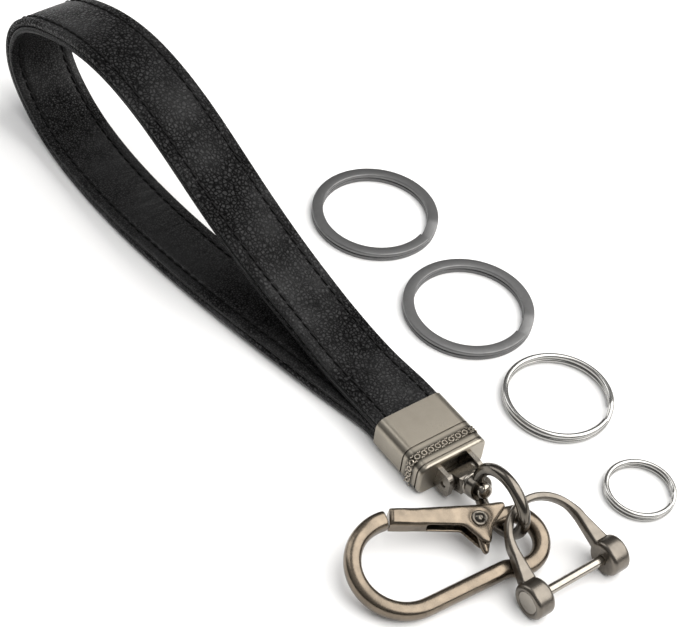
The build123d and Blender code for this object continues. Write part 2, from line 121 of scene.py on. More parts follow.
# ---- split rings: outer diameter, wire width, wire height, shine ----
RING_GAP = 0.1
RINGS = {
    "split_ring_flat_left": (35.0, 3.0, 1.2, "flat"),
    "split_ring_flat_right": (35.0, 3.0, 1.2, "flat"),
    "split_ring_round_large": (28.6, 1.5, 1.4, "round"),
    "split_ring_round_small": (18.0, 1.3, 1.2, "round"),
}
RING_RAMP_AT = 22.0
RING_RAMP_ANGLE = 26.0
RING_END_GAP = 1.5

# Strap route: middle of the band and the lean of its width in degrees, from the upper
# end over the arch and back along the table. It is the same route as the frame's strap.
ROUTE = [
    (-11.55, 0, 6.775, 0),
    (-23, -0.6, 6.875, -3),
    (-44, -2.2, 10.6, -6),
    (-60, -4.5, 17.0, -4.5),
    (-79, -7.3, 26.7, -0.5),
    (-100, -9.7, 37.2, 2.5),
    (-123, -11.9, 42.8, 4),
    (-146, -13.7, 38.8, 3.5),
    (-161.5, -14.8, 28.0, 1.5),
    (-163.4, -14.8, 15.5, -1.5),
    (-153.2, -15.0, 6.2, -3),
    (-134.5, -16.0, 2.6, -2),
    (-110, -16.0, 2.3, 0),
    (-84.5, -13.6, 2.4, 2),
    (-60, -9.6, 2.6, 3),
    (-41, -5.8, 2.7, 3),
    (-24, -2.0, 2.6, 1),
    (-11.55, 0, 2.775, 0),
]


# ---- mesh work ----
def between(value, low, high):
    """0 below low, 1 above high, smooth on the way."""
    t = max(0.0, min(1.0, (value - low) / (high - low)))
    return t * t * (3 - 2 * t)


def piece(name, points, faces, uvs=None, crease=35.0):
    """A mesh object from points in millimetres, its faces turned outwards."""
    mesh = bpy.data.meshes.new(name)
    mesh.from_pydata([tuple(c * MM for c in p) for p in points], [], faces)
    if uvs is not None:
        layer = mesh.uv_layers.new(name="strap_uv")
        for loop in mesh.loops:
            layer.data[loop.index].uv = uvs[loop.vertex_index]
    work = bmesh.new()
    work.from_mesh(mesh)
    bmesh.ops.remove_doubles(work, verts=work.verts, dist=1e-7)
    bmesh.ops.recalc_face_normals(work, faces=work.faces)
    work.to_mesh(mesh)
    work.free()
    mesh.shade_smooth()
    mesh.set_sharp_from_angle(angle=math.radians(crease))
    obj = bpy.data.objects.new(name, mesh)
    bpy.context.scene.collection.objects.link(obj)
    return obj


def sweep(places, section, closed=False):
    """Points and faces of a closed section carried along places (point, across, up)."""
    points, faces = [], []
    count = len(section)
    for point, across, up in places:
        for a, b in section:
            points.append(Vector(point) + Vector(across) * a + Vector(up) * b)
    laps = len(places) if closed else len(places) - 1
    for lap in range(laps):
        here = lap * count
        after = (lap + 1) % len(places) * count
        for i in range(count):
            j = (i + 1) % count
            faces.append((here + i, here + j, after + j, after + i))
    if not closed:
        faces.append(tuple(range(count)))
        last = (len(places) - 1) * count
        faces.append(tuple(range(last + count - 1, last - 1, -1)))
    return points, faces


def lathe(profile, origin, axis, segments=72):
    """Points and faces of a turned part: profile is (radius, height along the axis)."""
    axis = Vector(axis).normalized()
    side = axis.orthogonal().normalized()
    other = axis.cross(side)
    points, faces = [], []
    rows = []
    for radius, height in profile:
        middle = Vector(origin) + axis * height
        if radius < 1e-6:
            rows.append([len(points)])
            points.append(middle)
            continue
        rows.append(list(range(len(points), len(points) + segments)))
        for i in range(segments):
            turn = 2 * math.pi * i / segments
            points.append(middle + (side * math.cos(turn) + other * math.sin(turn)) * radius)
    for low, high in zip(rows, rows[1:]):
        for i in range(segments):
            j = (i + 1) % segments
            if len(low) == 1:
                faces.append((low[0], high[j], high[i]))
            elif len(high) == 1:
                faces.append((low[i], low[j], high[0]))
            else:
                faces.append((low[i], low[j], high[j], high[i]))
    return points, faces


def rounded(width, height, radius, steps=5):
    """Rounded rectangle round the origin, as a list of points."""
    outline = []
    for corner, (x, y) in enumerate(((1, 1), (-1, 1), (-1, -1), (1, -1))):
        middle = (x * (width / 2 - radius), y * (height / 2 - radius))
        for step in range(steps + 1):
            turn = math.radians(90 * corner + 90 * step / steps)
            outline.append((middle[0] + radius * math.cos(turn), middle[1] + radius * math.sin(turn)))
    return outline


def spline_through(points, first, last):
    """Smooth curve through points with given end directions, as fine evenly spaced samples."""
    points = np.array(points, float)
    chords = np.linalg.norm(np.diff(points, axis=0), axis=1)
    at = np.concatenate([[0], np.cumsum(chords)])
    count = len(points)
    system = np.zeros((count, count))
    wanted = np.zeros((count, 3))
    system[0, 0] = system[-1, -1] = 1
    wanted[0], wanted[-1] = first, last
    for i in range(1, count - 1):
        before, after = chords[i - 1], chords[i]
        system[i, i - 1] = after
        system[i, i] = 2 * (before + after)
        system[i, i + 1] = before
        rise = (points[i + 1] - points[i]) / after * before
        rise += (points[i] - points[i - 1]) / before * after
        wanted[i] = 3 * rise
    slopes = np.linalg.solve(system, wanted)
    samples, reached = [], []
    for i, span in enumerate(chords):
        for t in np.linspace(0, 1, 40, endpoint=False):
            a = (1 + 2 * t) * (1 - t) ** 2
            b = t * (1 - t) ** 2
            c = t * t * (3 - 2 * t)
            d = t * t * (t - 1)
            samples.append(
                a * points[i] + b * span * slopes[i] + c * points[i + 1] + d * span * slopes[i + 1]
            )
            reached.append(at[i] + t * span)
    samples.append(points[-1])
    reached.append(at[-1])
    return np.array(samples), np.array(reached), at


def strap_places(step):
    """Evenly spaced places along the strap: distance, point, width direction, outward."""
    samples, reached, at = spline_through([p[:3] for p in ROUTE], (-1, 0, 0), (1, 0, 0))
    leans = np.interp(reached, at, [p[3] for p in ROUTE])
    inner_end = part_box("strap_outer_leather")[1].x / MM
    head = [(inner_end, *ROUTE[0][1:3])]
    tail = [(inner_end, *ROUTE[-1][1:3])]
    samples = np.concatenate([head, samples, tail])
    leans = np.concatenate([[0], leans, [0]])
    lengths = np.concatenate([[0], np.cumsum(np.linalg.norm(np.diff(samples, axis=0), axis=1))])
    count = int(lengths[-1] / step)
    wanted = np.linspace(0, lengths[-1], count + 1)
    line = np.stack([np.interp(wanted, lengths, samples[:, k]) for k in range(3)], axis=1)
    leans = np.interp(wanted, lengths, leans)
    tangents = np.gradient(line, axis=0)
    places = []
    for distance, point, tangent, lean in zip(wanted, line, tangents, leans):
        along = Vector(tangent).normalized()
        side = Vector((0, 1, 0))
        level = (side - along * side.dot(along)).normalized()
        rise = level.cross(along)
        turn = math.radians(lean)
        width = level * math.cos(turn) + rise * math.sin(turn)
        places.append((distance, Vector(point), width, width.cross(along)))
    return places


# ---- geometry node trees ----
def repeat_along_tree(name):
    """Tree that sets a motif along a line: x along the line, z along its 'outward'."""
    tree = bpy.data.node_groups.new(name, "GeometryNodeTree")
    face = tree.interface
    face.new_socket("Line", in_out="INPUT", socket_type="NodeSocketGeometry")
    face.new_socket("Motif", in_out="INPUT", socket_type="NodeSocketObject")
    face.new_socket("Pitch", in_out="INPUT", socket_type="NodeSocketFloat")
    face.new_socket("Slant", in_out="INPUT", socket_type="NodeSocketFloat")
    face.new_socket("Unevenness", in_out="INPUT", socket_type="NodeSocketFloat")
    face.new_socket("Finish", in_out="INPUT", socket_type="NodeSocketMaterial")
    face.new_socket("Pieces", in_out="OUTPUT", socket_type="NodeSocketGeometry")
    nodes, links = tree.nodes, tree.links
    given = nodes.new("NodeGroupInput")
    made = nodes.new("NodeGroupOutput")
    curve = nodes.new("GeometryNodeMeshToCurve")
    spaced = nodes.new("GeometryNodeResampleCurve")
    spaced.mode = "LENGTH"
    motif = nodes.new("GeometryNodeObjectInfo")
    tangent = nodes.new("GeometryNodeInputTangent")
    outward = nodes.new("GeometryNodeInputNamedAttribute")
    outward.data_type = "FLOAT_VECTOR"
    outward.inputs["Name"].default_value = "outward"
    ahead = nodes.new("FunctionNodeAlignRotationToVector")
    ahead.axis = "X"
    upright = nodes.new("FunctionNodeAlignRotationToVector")
    upright.axis = "Z"
    upright.pivot_axis = "X"
    placed = nodes.new("GeometryNodeInstanceOnPoints")
    random = nodes.new("FunctionNodeRandomValue")
    random.inputs["Seed"].default_value = 7
    negative = nodes.new("ShaderNodeMath")
    negative.operation = "MULTIPLY"
    negative.inputs[1].default_value = -1
    total = nodes.new("ShaderNodeMath")
    total.operation = "ADD"
    angles = nodes.new("ShaderNodeCombineXYZ")
    turned = nodes.new("GeometryNodeRotateInstances")
    real = nodes.new("GeometryNodeRealizeInstances")
    finish = nodes.new("GeometryNodeSetMaterial")
    links.new(given.outputs["Line"], curve.inputs["Mesh"])
    links.new(curve.outputs["Curve"], spaced.inputs["Curve"])
    links.new(given.outputs["Pitch"], spaced.inputs["Length"])
    links.new(given.outputs["Motif"], motif.inputs["Object"])
    links.new(tangent.outputs["Tangent"], ahead.inputs["Vector"])
    links.new(ahead.outputs["Rotation"], upright.inputs["Rotation"])
    links.new(outward.outputs["Attribute"], upright.inputs["Vector"])
    links.new(spaced.outputs["Curve"], placed.inputs["Points"])
    links.new(motif.outputs["Geometry"], placed.inputs["Instance"])
    links.new(upright.outputs["Rotation"], placed.inputs["Rotation"])
    links.new(given.outputs["Unevenness"], negative.inputs[0])
    links.new(negative.outputs[0], random.inputs[2])
    links.new(given.outputs["Unevenness"], random.inputs[3])
    links.new(random.outputs[1], total.inputs[0])
    links.new(given.outputs["Slant"], total.inputs[1])
    links.new(total.outputs[0], angles.inputs["Z"])
    links.new(placed.outputs["Instances"], turned.inputs["Instances"])
    links.new(angles.outputs["Vector"], turned.inputs["Rotation"])
    links.new(turned.outputs["Instances"], real.inputs["Geometry"])
    links.new(real.outputs["Geometry"], finish.inputs["Geometry"])
    links.new(given.outputs["Finish"], finish.inputs["Material"])
    links.new(finish.outputs["Geometry"], made.inputs["Pieces"])
    return tree


def repeated(name, lines, motif, pitch, slant, uneven, finish):
    """Motifs set along lines of (point, outward), as one plain mesh."""
    mesh = bpy.data.meshes.new(name + "_line")
    points, edges, outward = [], [], []
    for line in lines:
        start = len(points)
        points += [tuple(p * MM) for p, _ in line]
        outward += [tuple(o) for _, o in line]
        edges += [(start + i, start + i + 1) for i in range(len(line) - 1)]
    mesh.from_pydata(points, edges, [])
    held = mesh.attributes.new("outward", "FLOAT_VECTOR", "POINT")
    held.data.foreach_set("vector", [c for o in outward for c in o])
    carrier = bpy.data.objects.new(name + "_line", mesh)
    bpy.context.scene.collection.objects.link(carrier)
    tree = bpy.data.node_groups.get("repeat_along") or repeat_along_tree("repeat_along")
    modifier = carrier.modifiers.new("repeat", "NODES")
    modifier.node_group = tree
    values = {
        "Motif": motif,
        "Pitch": pitch * MM,
        "Slant": math.radians(slant),
        "Unevenness": math.radians(uneven),
        "Finish": finish,
    }
    for item in tree.interface.items_tree:
        if item.in_out == "INPUT" and item.name in values:
            modifier[item.identifier] = values[item.name]
    seen = carrier.evaluated_get(bpy.context.evaluated_depsgraph_get())
    made = bpy.data.meshes.new_from_object(seen)
    made.name = name
    made.materials.clear()
    made.materials.append(finish)
    made.polygons.foreach_set("material_index", [0] * len(made.polygons))
    obj = bpy.data.objects.new(name, made)
    bpy.context.scene.collection.objects.link(obj)
    bpy.data.objects.remove(carrier)
    bpy.data.objects.remove(motif)
    made.shade_smooth()
    return obj


def loose_motif(name, points, faces):
    """A small mesh that is only used to be repeated."""
    obj = piece(name, points, faces)
    bpy.context.scene.collection.objects.unlink(obj)
    return obj


# ---- finishes ----
class Finish:
    """A material whose nodes are added step by step."""

    def __init__(self, name):
        self.material = bpy.data.materials.new(name)
        self.material.use_nodes = True
        self.nodes = self.material.node_tree.nodes
        self.links = self.material.node_tree.links
        self.shader = self.nodes["Principled BSDF"]
        self.place = self.nodes.new("ShaderNodeTexCoord").outputs["Object"]

    def follow(self, uv):
        """Patterns follow the piece's own UV map from here on."""
        source = self.nodes.new("ShaderNodeUVMap")
        source.uv_map = uv
        self.place = source.outputs["UV"]

    def stretch(self, x, y, z):
        """The place, stretched along its axes."""
        node = self.nodes.new("ShaderNodeMapping")
        node.inputs["Scale"].default_value = (x, y, z)
        self.links.new(self.place, node.inputs["Vector"])
        return node.outputs["Vector"]

    def noise(self, size, detail=3.0, rough=0.55, place=None, distort=0.0):
        """Noise with features of a size in millimetres."""
        node = self.nodes.new("ShaderNodeTexNoise")
        node.inputs["Scale"].default_value = 1 / (size * MM)
        node.inputs["Detail"].default_value = detail
        node.inputs["Roughness"].default_value = rough
        node.inputs["Distortion"].default_value = distort
        self.links.new(place or self.place, node.inputs["Vector"])
        return node.outputs["Fac"]

    def cells(self, size, place):
        """Height over cells of a size in millimetres, 0 along the lines between them."""
        node = self.nodes.new("ShaderNodeTexVoronoi")
        node.feature = "DISTANCE_TO_EDGE"
        node.inputs["Scale"].default_value = 1 / (size * MM)
        self.links.new(place, node.inputs["Vector"])
        return node.outputs["Distance"]

    def warp(self, size, amount):
        """The place, pushed about by noise of a size, by an amount in millimetres."""
        node = self.nodes.new("ShaderNodeTexNoise")
        node.inputs["Scale"].default_value = 1 / (size * MM)
        self.links.new(self.place, node.inputs["Vector"])
        push = self.nodes.new("ShaderNodeVectorMath")
        push.operation = "MULTIPLY_ADD"
        push.inputs[1].default_value = (amount * MM,) * 3
        self.links.new(node.outputs["Color"], push.inputs[0])
        self.links.new(self.place, push.inputs[2])
        return push.outputs["Vector"]

    def ramp(self, value, low, high, start=0.0, end=1.0):
        """The value stretched from low..high to start..end."""
        node = self.nodes.new("ShaderNodeMapRange")
        node.inputs["From Min"].default_value = low
        node.inputs["From Max"].default_value = high
        node.inputs["To Min"].default_value = start
        node.inputs["To Max"].default_value = end
        self.links.new(value, node.inputs["Value"])
        return node.outputs["Result"]

    def sums(self, a, b, operation="ADD"):
        """Two values, or a value and a number, added or joined by another operation."""
        node = self.nodes.new("ShaderNodeMath")
        node.operation = operation
        for socket, value in zip(node.inputs, (a, b)):
            if isinstance(value, (int, float)):
                socket.default_value = value
            else:
                self.links.new(value, socket)
        return node.outputs[0]

    def blend(self, factor, first, second):
        """Colour between two, by a factor."""
        node = self.nodes.new("ShaderNodeMix")
        node.data_type = "RGBA"
        for name, value in (("A", first), ("B", second)):
            socket = [s for s in node.inputs if s.name == name and s.type == "RGBA"][0]
            if isinstance(value, tuple):
                socket.default_value = (*value, 1)
            else:
                self.links.new(value, socket)
        self.links.new(factor, node.inputs[0])
        return [s for s in node.outputs if s.type == "RGBA"][0]

    def bump(self, height, depth, strength=1.0):
        """Relief of a depth in millimetres, over any relief already there."""
        node = self.nodes.new("ShaderNodeBump")
        node.inputs["Distance"].default_value = depth * MM
        node.inputs["Strength"].default_value = strength
        self.links.new(height, node.inputs["Height"])
        before = self.shader.inputs["Normal"]
        if before.is_linked:
            self.links.new(before.links[0].from_socket, node.inputs["Normal"])
        self.links.new(node.outputs["Normal"], before)

    def crevice(self, distance):
        """1 in open places, towards 0 in inner corners."""
        node = self.nodes.new("ShaderNodeAmbientOcclusion")
        node.only_local = True
        node.samples = 8
        node.inputs["Distance"].default_value = distance * MM
        return node.outputs["AO"]

    def set(self, **values):
        """Numbers, colours or node outputs for the shader's inputs."""
        for name, value in values.items():
            socket = self.shader.inputs[name.replace("_", " ")]
            if isinstance(value, bpy.types.NodeSocket):
                self.links.new(value, socket)
            elif isinstance(value, tuple):
                socket.default_value = (*value, 1)
            else:
                socket.default_value = value


def metal(name, light, dark, rough, blotch=3.0, spread=0.5, grain=0.12, depth=0.01, corner=0.8):
    """Cast or drawn metal: patina in blotches and corners, fine grain in its shine."""
    finish = Finish(name)
    cloudy = finish.noise(blotch, 4.0, 0.6)
    fine = finish.noise(grain, 2.0, 0.5)
    worn = finish.ramp(cloudy, 0.3, 0.7, 0.0, spread)
    inner = finish.ramp(finish.crevice(corner), 0.35, 0.95, 1.0, 0.0)
    tone = finish.blend(worn, light, dark)
    shade = tuple(c * 0.3 for c in dark)
    finish.set(
        Base_Color=finish.blend(inner, tone, shade),
        Metallic=1.0,
        Roughness=finish.ramp(finish.sums(cloudy, fine), 0.6, 1.4, rough * 0.8, rough * 1.2),
    )
    finish.bump(fine, depth, 0.5)
    return finish.material


def cap_finish():
    """Pewter of the cap, darker between the beads of its patterned band."""
    material = CAP_METAL.copy()
    material.name = "cap_metal_banded"
    nodes, links = material.node_tree.nodes, material.node_tree.links
    shader = nodes["Principled BSDF"]
    base = shader.inputs["Base Color"].links[0].from_socket
    place = nodes.new("ShaderNodeTexCoord")
    split = nodes.new("ShaderNodeSeparateXYZ")
    links.new(place.outputs["Object"], split.inputs[0])
    away = nodes.new("ShaderNodeMath")
    away.operation = "SUBTRACT"
    away.inputs[1].default_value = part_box("end_cap")[1].x - MOTIF_BAND_MIDDLE * MM
    links.new(split.outputs["X"], away.inputs[0])
    size = nodes.new("ShaderNodeMath")
    size.operation = "ABSOLUTE"
    links.new(away.outputs[0], size.inputs[0])
    near = nodes.new("ShaderNodeMapRange")
    near.inputs["From Min"].default_value = PATINA_OUTSIDE * MM
    near.inputs["From Max"].default_value = PATINA_INSIDE * MM
    near.inputs["To Max"].default_value = PATINA_STRENGTH
    links.new(size.outputs[0], near.inputs["Value"])
    mix = nodes.new("ShaderNodeMix")
    mix.data_type = "RGBA"
    colours = [s for s in mix.inputs if s.type == "RGBA"]
    colours[1].default_value = (0.028, 0.025, 0.02, 1)
    links.new(near.outputs["Result"], mix.inputs[0])
    links.new(base, colours[0])
    links.new([s for s in mix.outputs if s.type == "RGBA"][0], shader.inputs["Base Color"])
    return material


def leather_finish(name, tone, grain_size, grain_depth, wrinkle_depth, shine):
    """Black leather: pebbles of two sizes, dull between them and darkened there by painted shade, and
    creases across.
    """
    finish = Finish(name)
    finish.follow("strap_uv")
    wander = finish.noise(2.2, 2.0, 0.5)
    bent = finish.warp(0.5, 0.35)
    pebble = finish.ramp(finish.cells(grain_size, bent), 0.0, 0.28)
    small = finish.ramp(finish.cells(grain_size * 0.45, bent), 0.0, 0.3)
    across = finish.stretch(1.0, 0.22, 1.0)
    creases = finish.noise(2.6, 3.0, 0.6, place=across, distort=0.9)
    patch = finish.noise(26.0, 2.0, 0.5)
    smoother = finish.ramp(patch, 0.35, 0.62, 0.35, 1.0)
    relief = finish.sums(pebble, finish.sums(small, 0.45, "MULTIPLY"))
    relief = finish.sums(relief, smoother, "MULTIPLY")
    lighter = tuple(c * 2.2 + 0.003 for c in tone)
    # crack: the cracks between pebbles; it makes them dull and darkens their colour as painted shade
    crack = finish.sums(finish.sums(1.0, pebble, "SUBTRACT"), smoother, "MULTIPLY")
    top = finish.blend(finish.ramp(wander, 0.3, 0.75), tone, lighter)
    finish.set(
        # Base colour: painted shade, turning near black in the cracks between the pebbles
        Base_Color=finish.blend(crack, top, (0.0012, 0.0012, 0.0012)),
        Roughness=finish.ramp(crack, 0.0, 1.0, shine - 0.03, shine + 0.2),
        Specular_IOR_Level=finish.ramp(crack, 0.0, 0.8, 0.42, 0.03),
        Sheen_Weight=0.01,
        Sheen_Roughness=0.4,
    )
    finish.bump(creases, wrinkle_depth, 1.0)
    finish.bump(relief, grain_depth, 1.0)
    return finish.material


def thread_finish():
    """Waxed black thread with its twist."""
    finish = Finish("waxed_thread")
    twist = finish.noise(0.16, 2.0, 0.5)
    fuzz = finish.noise(1.0, 2.0, 0.5)
    finish.set(
        Base_Color=finish.blend(fuzz, (0.002, 0.002, 0.002), (0.006, 0.006, 0.006)),
        Roughness=finish.ramp(twist, 0.3, 0.7, 0.45, 0.7),
        Specular_IOR_Level=0.15,
    )
    finish.bump(twist, 0.05)
    return finish.material


def floor_finish():
    """Matt, faintly cloudy white."""
    finish = Finish("pale_table")
    cloudy = finish.noise(60.0, 2.0, 0.5)
    finish.set(
        Base_Color=finish.blend(cloudy, (0.93, 0.93, 0.93), (0.95, 0.95, 0.95)),
        Roughness=0.85,
        Specular_IOR_Level=0.1,
    )
    return finish.material


OUTER_SKIN = leather_finish("outer_leather", (0.0045, 0.0045, 0.0048), 1.0, 0.3, 0.05, 0.42)
INNER_SKIN = leather_finish("inner_leather", (0.0035, 0.0035, 0.0037), 0.7, 0.08, 0.4, 0.45)
THREAD = thread_finish()
CAP_METAL = metal("cap_metal", (0.33, 0.30, 0.25), (0.24, 0.215, 0.18), 0.32, 6.0, 0.5, 0.08, 0.006)
BAND_METAL = metal("cap_band_metal", (0.5, 0.45, 0.38), (0.3, 0.27, 0.22), 0.28, 3.0, 0.4)
DARK_STEEL = metal("dark_steel", (0.24, 0.22, 0.19), (0.11, 0.10, 0.09), 0.28, 2.5, 0.6)
BRIGHT_STEEL = metal("polished_steel", (0.36, 0.33, 0.29), (0.17, 0.16, 0.14), 0.2, 2.0, 0.4)
GUNMETAL = metal("gunmetal", (0.17, 0.153, 0.13), (0.06, 0.056, 0.05), 0.2, 3.0, 0.6)
HOOK_METAL = metal("hook_metal", (0.215, 0.176, 0.134), (0.078, 0.066, 0.053), 0.26, 4.0, 0.6)
SHACKLE_METAL = metal("shackle_metal", (0.19, 0.17, 0.145), (0.08, 0.073, 0.064), 0.3, 3.0, 0.5)
SPRING_WIRE = metal("spring_wire", (0.3, 0.3, 0.3), (0.2, 0.2, 0.2), 0.25)
FLAT_RING = metal("flat_ring_metal", (0.17, 0.17, 0.17), (0.12, 0.12, 0.12), 0.42, 2.0, 0.4, 0.2, 0.02)
ROUND_RING = metal("round_ring_metal", (0.42, 0.415, 0.40), (0.26, 0.255, 0.245), 0.14, 2.0, 0.3)
SLOT_FINISH = {
    "outer_leather": OUTER_SKIN,
    "inner_leather": INNER_SKIN,
    "cap_metal": CAP_METAL,
    "dark_steel": DARK_STEEL,
    "polished_steel": BRIGHT_STEEL,
    "gunmetal": GUNMETAL,
    "hook_metal": HOOK_METAL,
    "shackle_metal": SHACKLE_METAL,
    "spring_wire": SPRING_WIRE,
    "flat_ring_metal": FLAT_RING,
    "round_ring_metal": ROUND_RING,
}
NODE_SLOT = {part["node"]: part["material_slot"] for part in frame["record"]["subparts"]}
NODE_BODY = {node: obj["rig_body"] for node, obj in frame["nodes"].items()}
JOINT = {joint["name"]: joint for joint in frame["joints"]}


def dress(obj, material):
    """The object wears one material only."""
    obj.data.materials.clear()
    obj.data.materials.append(material)


def stand_for(obj, *nodes):
    """The piece takes its body, and the finish of its slot, from the node it stands for."""
    slot = NODE_SLOT[nodes[0]]
    dress(obj, SLOT_FINISH[slot])
    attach(obj, NODE_BODY[nodes[0]])
    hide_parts(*nodes)


# ---- strap ----
def turned_edge(centre, radius, first, steps):
    """Quarter turn of a section's edge, from a first angle in degrees."""
    turns = [math.radians(first + 90 * step / steps) for step in range(steps + 1)]
    return [(centre[0] + radius * math.cos(t), centre[1] + radius * math.sin(t)) for t in turns]


def strap_section(inside, outside, corner, crown, seam_corner):
    """Section of one layer: soft turned edges, a shallow groove along each stitch row."""
    half = STRAP_WIDTH / 2
    row = half - STITCH_INSET
    face = []
    for a in np.linspace(half - corner, -(half - corner), 80)[1:-1]:
        dip = STITCH_GROOVE * math.exp(-(((abs(a) - row) / STITCH_GROOVE_WIDTH) ** 2))
        rise = crown * max(0.0, 1 - (a / row) ** 2) ** 0.7
        face.append((a, outside - dip + rise))
    return (
        turned_edge((half - corner, outside - corner), corner, 0, 6)
        + face
        + turned_edge((corner - half, outside - corner), corner, 90, 6)
        + turned_edge((seam_corner - half, inside + seam_corner), seam_corner, 180, 3)
        + turned_edge((half - seam_corner, inside + seam_corner), seam_corner, 270, 3)
    )


def strap_layer(name, section, node, places):
    """One leather layer: its section carried along the strap, with its own UV map."""
    line = [(point, width, out) for _, point, width, out in places]
    points, faces = sweep(line, section)
    girth = [0.0]
    for (a, b), (c, d) in zip(section, section[1:]):
        girth.append(girth[-1] + math.hypot(c - a, d - b))
    uvs = [(distance * MM, g * MM) for distance, *_ in places for g in girth]
    obj = piece(name, points, faces, uvs, crease=60.0)
    stand_for(obj, node)
    return obj


def strap():
    """Both layers and the four rows of stitches."""
    places = strap_places(STRAP_STEP)
    middle = BAND / 2
    outer = strap_section(INNER_LEATHER + SEAM - middle, middle, 0.8, 0.14, 0.7)
    strap_layer("strap_outer_skin", outer, "strap_outer_leather", places)
    inner = [(-a, -b) for a, b in strap_section(middle - INNER_LEATHER, middle, 0.5, 0.05, 0.6)]
    strap_layer("strap_inner_skin", inner, "strap_inner_leather", places)
    cap_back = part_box("end_cap")[0].x / MM
    row = STRAP_WIDTH / 2 - STITCH_INSET
    lines = []
    for face, height in ((1, middle - STITCH_SUNK), (-1, STITCH_SUNK - middle)):
        for side in (-row, row):
            line = [
                (point + width * side + out * height, out * face)
                for _, point, width, out in places
                if point.x < cap_back - CAP_CLEARANCE
            ]
            lines.append(line)
    stitches = repeated(
        "strap_stitches", lines, stitch_motif(), STITCH_PITCH, STITCH_SLANT, STITCH_UNEVEN, THREAD
    )
    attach(stitches, NODE_BODY["strap_outer_leather"])


def stitch_motif():
    """One stitch: a short arched thread whose ends dive into the leather."""
    places = []
    steps = 6
    for step in range(steps + 1):
        share = step / steps
        x = (share - 0.5) * STITCH_LENGTH
        z = STITCH_THICKNESS * (0.55 * math.sin(math.pi * share) - 0.4)
        girth = 0.55 + 0.45 * math.sin(math.pi * share)
        places.append((x, z, girth))
    points, faces = [], []
    sides = 7
    for x, z, girth in places:
        for i in range(sides):
            turn = 2 * math.pi * i / sides
            radius = STITCH_THICKNESS / 2 * girth
            points.append((x, radius * 1.15 * math.cos(turn), z + radius * math.sin(turn)))
    for lap in range(steps):
        for i in range(sides):
            j = (i + 1) % sides
            faces.append((lap * sides + i, lap * sides + j, (lap + 1) * sides + j, (lap + 1) * sides + i))
    faces.append(tuple(range(sides)))
    faces.append(tuple(range(steps * sides + sides - 1, steps * sides - 1, -1)))
    return loose_motif("stitch", points, faces)


# ---- end cap ----
def bead_motif():
    """One raised ring with a little hook above and below it."""
    points, faces = [], []

    def wire(line, radius, closed):
        count = len(line)
        start = len(points)
        for i, (x, y) in enumerate(line):
            before = line[i - 1] if closed or i else line[i]
            after = line[(i + 1) % count] if closed or i + 1 < count else line[i]
            dx, dy = after[0] - before[0], after[1] - before[1]
            length = math.hypot(dx, dy)
            side = (-dy / length, dx / length)
            for step in range(6):
                turn = 2 * math.pi * step / 6
                away = radius * math.cos(turn)
                points.append((x + side[0] * away, y + side[1] * away, radius * math.sin(turn)))
        for i in range(count if closed else count - 1):
            here, after = start + i * 6, start + (i + 1) % count * 6
            for step in range(6):
                nxt = (step + 1) % 6
                faces.append((here + step, here + nxt, after + nxt, after + step))
        if not closed:
            faces.append(tuple(start + step for step in range(6)))
            faces.append(tuple(start + (count - 1) * 6 + 5 - step for step in range(6)))

    circle = [
        (MOTIF_RADIUS * math.cos(2 * math.pi * i / 14), MOTIF_RADIUS * math.sin(2 * math.pi * i / 14))
        for i in range(14)
    ]
    wire(circle, MOTIF_WIRE, True)
    for side in (-1, 1):
        hook = []
        for i in range(7):
            turn = math.radians(20 + 140 * i / 6)
            x = MOTIF_PITCH / 2 + MOTIF_HOOK_RADIUS * math.cos(turn)
            hook.append((x, side * (MOTIF_HOOK_REACH - MOTIF_HOOK_RADIUS * math.sin(turn))))
        wire(hook, MOTIF_WIRE * 0.85, False)
    return loose_motif("bead", points, faces)


def cap_pattern():
    """Raised rings round the band between the cap's two grooves, over top and sides."""
    low, high = (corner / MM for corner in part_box("end_cap"))
    width, height = high.y - low.y, high.z - low.z
    middle = Vector((high.x - MOTIF_BAND_MIDDLE, 0, (low.z + high.z) / 2))
    line = []
    previous = None
    foot = -height / 2 + CAP_CORNER * 0.75
    shown = [p for p in rounded(width, height, CAP_CORNER, 8) if p[1] > foot]
    shown.sort(key=lambda p: math.atan2(p[1] + height, p[0]))
    for y, z in shown:
        inner_y = max(-width / 2 + CAP_CORNER, min(width / 2 - CAP_CORNER, y))
        inner_z = max(-height / 2 + CAP_CORNER, min(height / 2 - CAP_CORNER, z))
        out = Vector((0, y - inner_y, z - inner_z)).normalized()
        point = middle + Vector((0, y, z)) + out * MOTIF_RISE
        if previous is not None and (point - previous).length > MOTIF_LINE_STEP:
            parts = int((point - previous).length / MOTIF_LINE_STEP)
            last_out = line[-1][1]
            for part in range(1, parts):
                share = part / parts
                line.append((previous.lerp(point, share), last_out.lerp(out, share).normalized()))
        line.append((point, out))
        previous = point
    pattern = repeated("cap_beads", [line], bead_motif(), MOTIF_PITCH, 0.0, 0.0, BAND_METAL)
    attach(pattern, NODE_BODY["end_cap"])


# ---- cast metal ----
def eased(mesh, rounds, share):
    """Each point drawn towards its neighbours a number of times, by its own share."""
    count = len(mesh.vertices)
    place = np.empty(count * 3)
    mesh.vertices.foreach_get("co", place)
    place = place.reshape(-1, 3)
    ends = np.empty(len(mesh.edges) * 2, dtype=np.int64)
    mesh.edges.foreach_get("vertices", ends)
    one, two = ends.reshape(-1, 2).T
    near, far = np.concatenate([one, two]), np.concatenate([two, one])
    degree = np.bincount(near, minlength=count)[:, None]
    pull = 0.5 * np.array([share(Vector(p) / MM) for p in place])[:, None]
    for _ in range(rounds):
        mean = np.stack([np.bincount(near, place[far, k], count) for k in range(3)], 1) / degree
        place += pull * (mean - place)
    mesh.vertices.foreach_set("co", place.ravel())
    mesh.update()


